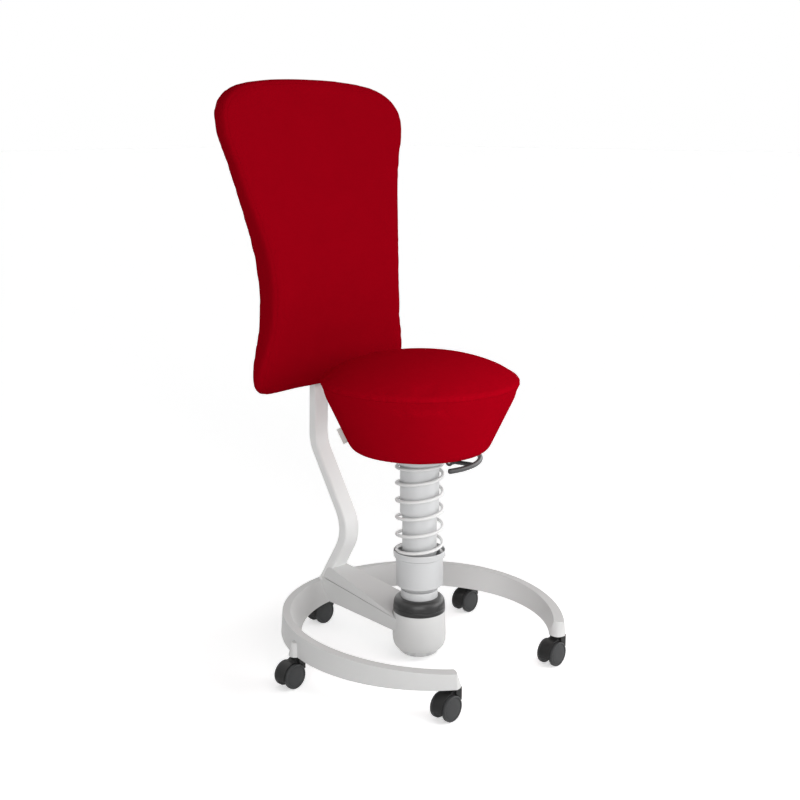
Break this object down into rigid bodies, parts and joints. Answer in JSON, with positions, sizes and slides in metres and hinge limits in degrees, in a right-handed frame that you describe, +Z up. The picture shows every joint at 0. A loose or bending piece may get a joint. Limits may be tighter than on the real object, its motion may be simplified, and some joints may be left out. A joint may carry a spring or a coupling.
{
  "type": "wobble stool with backrest",
  "caption": "Active sitting stool with an open foot ring on castors, a leaning sprung column, a round padded seat and a shaped backrest on a bent stem.",
  "frame": {"origin": "on the floor under the column's axis", "axes": "+Z up along the column, the sitter faces -Y, +X to the sitter's left"},
  "size_m": [0.5923, 0.5961, 1.1643],
  "materials": {
    "frame_coat": "satin powder coat, light grey",
    "stem_coat": "satin powder coat, light grey",
    "spring_coat": "satin light grey",
    "column_metal": "satin, turned",
    "steel": "bright zinc plate",
    "castor_plastic": "moulded, dark grey",
    "wheel_plastic": "moulded, dark grey",
    "boot_rubber": "smooth, dark grey",
    "buffer_rubber": "matt black",
    "knob_plastic": "moulded, grey",
    "bush_plastic": "moulded, natural",
    "shell_plastic": "moulded, black",
    "lever_coat": "satin dark grey",
    "cable_sheath": "black sheath",
    "red_fabric": "woven red cover over foam"
  },
  "bodies": {
    "base": {"foot_ring": "frame_coat", "castor_sleeves": "bush_plastic", "backrest_stem": "stem_coat", "stem_screws": "steel", "back_bracket": "steel", "back_screws": "steel", "backrest_shell": "shell_plastic", "backrest_cushion": "red_fabric", "backrest_rear_pad": "red_fabric", "gimbal_yoke": "column_metal", "boot_lip": "boot_rubber", "sway_buffer": "buffer_rubber", "sway_pressure_plate": "steel"},
    "swing": {"gimbal_ring": "steel", "gimbal_outer_pins": "steel"},
    "column": {"column_spigot": "column_metal", "gimbal_inner_pins": "steel", "boot_dome": "boot_rubber", "guide_tube": "steel", "guide_bush": "bush_plastic", "coil_spring": "spring_coat"},
    "cup": {"spring_cup": "column_metal"},
    "carriage": {"upper_tube": "column_metal", "spring_plate": "column_metal", "stand_tube": "steel", "rod_anchor": "steel", "piston_rod": "steel", "lift_bush": "bush_plastic"},
    "lift": {"gas_cylinder": "steel"},
    "seat": {"seat_hub": "column_metal", "seat_screws": "steel", "seat_pan": "shell_plastic", "seat_cushion": "red_fabric", "lever_bracket": "lever_coat", "lever_pin": "steel", "release_cable": "cable_sheath"},
    "lever": {"release_lever": "lever_coat"},
    "knob": {"sway_knob": "knob_plastic"},
    "castor_1": {"castor_1_housing": "castor_plastic", "castor_1_pins": "steel"},
    "castor_1_wheel_a": {"castor_1_wheel_a": "wheel_plastic"},
    "castor_1_wheel_b": {"castor_1_wheel_b": "wheel_plastic"},
    "castor_2": {"castor_2_housing": "castor_plastic", "castor_2_pins": "steel"},
    "castor_2_wheel_a": {"castor_2_wheel_a": "wheel_plastic"},
    "castor_2_wheel_b": {"castor_2_wheel_b": "wheel_plastic"},
    "castor_3": {"castor_3_housing": "castor_plastic", "castor_3_pins": "steel"},
    "castor_3_wheel_a": {"castor_3_wheel_a": "wheel_plastic"},
    "castor_3_wheel_b": {"castor_3_wheel_b": "wheel_plastic"},
    "castor_4": {"castor_4_housing": "castor_plastic", "castor_4_pins": "steel"},
    "castor_4_wheel_a": {"castor_4_wheel_a": "wheel_plastic"},
    "castor_4_wheel_b": {"castor_4_wheel_b": "wheel_plastic"},
    "castor_5": {"castor_5_housing": "castor_plastic", "castor_5_pins": "steel"},
    "castor_5_wheel_a": {"castor_5_wheel_a": "wheel_plastic"},
    "castor_5_wheel_b": {"castor_5_wheel_b": "wheel_plastic"}
  },
  "joints": [
    {"name": "lean_sideways", "type": "hinge", "parent": "base", "child": "swing", "pos_m": [0, 0, 0.108], "axis": [0, 1, 0], "range_deg": [-8, 8], "stiffness_Nm_per_rad": 220},
    {"name": "lean_fore_aft", "type": "hinge", "parent": "swing", "child": "column", "pos_m": [0, 0, 0.108], "axis": [1, 0, 0], "range_deg": [-5, 8], "stiffness_Nm_per_rad": 220},
    {"name": "spring_cup_turn", "type": "hinge", "parent": "column", "child": "cup", "pos_m": [0, 0, 0.19], "axis": [0, 0, 1], "range_deg": [-180, 180]},
    {"name": "spring_bounce", "type": "slide", "parent": "column", "child": "carriage", "axis": [0, 0, 1], "range_m": [-0.045, 0], "stiffness_N_per_m": 15000, "springref_m": 0.015, "deforming": ["coil_spring"]},
    {"name": "seat_lift", "type": "slide", "parent": "carriage", "child": "lift", "axis": [0, 0, 1], "range_m": [-0.095, 0], "stiffness_N_per_m": 600, "springref_m": 0.5},
    {"name": "seat_swivel", "type": "hinge", "parent": "lift", "child": "seat", "pos_m": [0, 0, 0.55], "axis": [0, 0, 1], "continuous": true},
    {"name": "release_lever_pull", "type": "hinge", "parent": "seat", "child": "lever", "pos_m": [0.01575, -0.06821, 0.425], "axis": [-0.9744, -0.225, 0], "range_deg": [0, 7], "stiffness_Nm_per_rad": 0.5, "springref_deg": -11.46},
    {"name": "sway_knob_turn", "type": "hinge", "parent": "base", "child": "knob", "pos_m": [0, 0, 0.025], "axis": [0, 0, 1], "range_deg": [-150, 150]},
    {"name": "castor_1_swivel", "type": "hinge", "parent": "base", "child": "castor_1", "pos_m": [0.16517, -0.22733, 0.06], "axis": [0, 0, 1], "continuous": true},
    {"name": "castor_1_roll_a", "type": "hinge", "parent": "castor_1", "child": "castor_1_wheel_a", "pos_m": [0.15067, -0.22733, 0.025], "axis": [0, 1, 0], "continuous": true},
    {"name": "castor_1_roll_b", "type": "hinge", "parent": "castor_1", "child": "castor_1_wheel_b", "pos_m": [0.15067, -0.22733, 0.025], "axis": [0, 1, 0], "continuous": true},
    {"name": "castor_2_swivel", "type": "hinge", "parent": "base", "child": "castor_2", "pos_m": [0.26725, 0.08683, 0.06], "axis": [0, 0, 1], "continuous": true},
    {"name": "castor_2_roll_a", "type": "hinge", "parent": "castor_2", "child": "castor_2_wheel_a", "pos_m": [0.25275, 0.08683, 0.025], "axis": [0, 1, 0], "continuous": true},
    {"name": "castor_2_roll_b", "type": "hinge", "parent": "castor_2", "child": "castor_2_wheel_b", "pos_m": [0.25275, 0.08683, 0.025], "axis": [0, 1, 0], "continuous": true},
    {"name": "castor_3_swivel", "type": "hinge", "parent": "base", "child": "castor_3", "pos_m": [0, 0.281, 0.06], "axis": [0, 0, 1], "continuous": true},
    {"name": "castor_3_roll_a", "type": "hinge", "parent": "castor_3", "child": "castor_3_wheel_a", "pos_m": [-0.0145, 0.281, 0.025], "axis": [0, 1, 0], "continuous": true},
    {"name": "castor_3_roll_b", "type": "hinge", "parent": "castor_3", "child": "castor_3_wheel_b", "pos_m": [-0.0145, 0.281, 0.025], "axis": [0, 1, 0], "continuous": true},
    {"name": "castor_4_swivel", "type": "hinge", "parent": "base", "child": "castor_4", "pos_m": [-0.26725, 0.08683, 0.06], "axis": [0, 0, 1], "continuous": true},
    {"name": "castor_4_roll_a", "type": "hinge", "parent": "castor_4", "child": "castor_4_wheel_a", "pos_m": [-0.28175, 0.08683, 0.025], "axis": [0, 1, 0], "continuous": true},
    {"name": "castor_4_roll_b", "type": "hinge", "parent": "castor_4", "child": "castor_4_wheel_b", "pos_m": [-0.28175, 0.08683, 0.025], "axis": [0, 1, 0], "continuous": true},
    {"name": "castor_5_swivel", "type": "hinge", "parent": "base", "child": "castor_5", "pos_m": [-0.16517, -0.22733, 0.06], "axis": [0, 0, 1], "continuous": true},
    {"name": "castor_5_roll_a", "type": "hinge", "parent": "castor_5", "child": "castor_5_wheel_a", "pos_m": [-0.17967, -0.22733, 0.025], "axis": [0, 1, 0], "continuous": true},
    {"name": "castor_5_roll_b", "type": "hinge", "parent": "castor_5", "child": "castor_5_wheel_b", "pos_m": [-0.17967, -0.22733, 0.025], "axis": [0, 1, 0], "continuous": true}
  ]
}
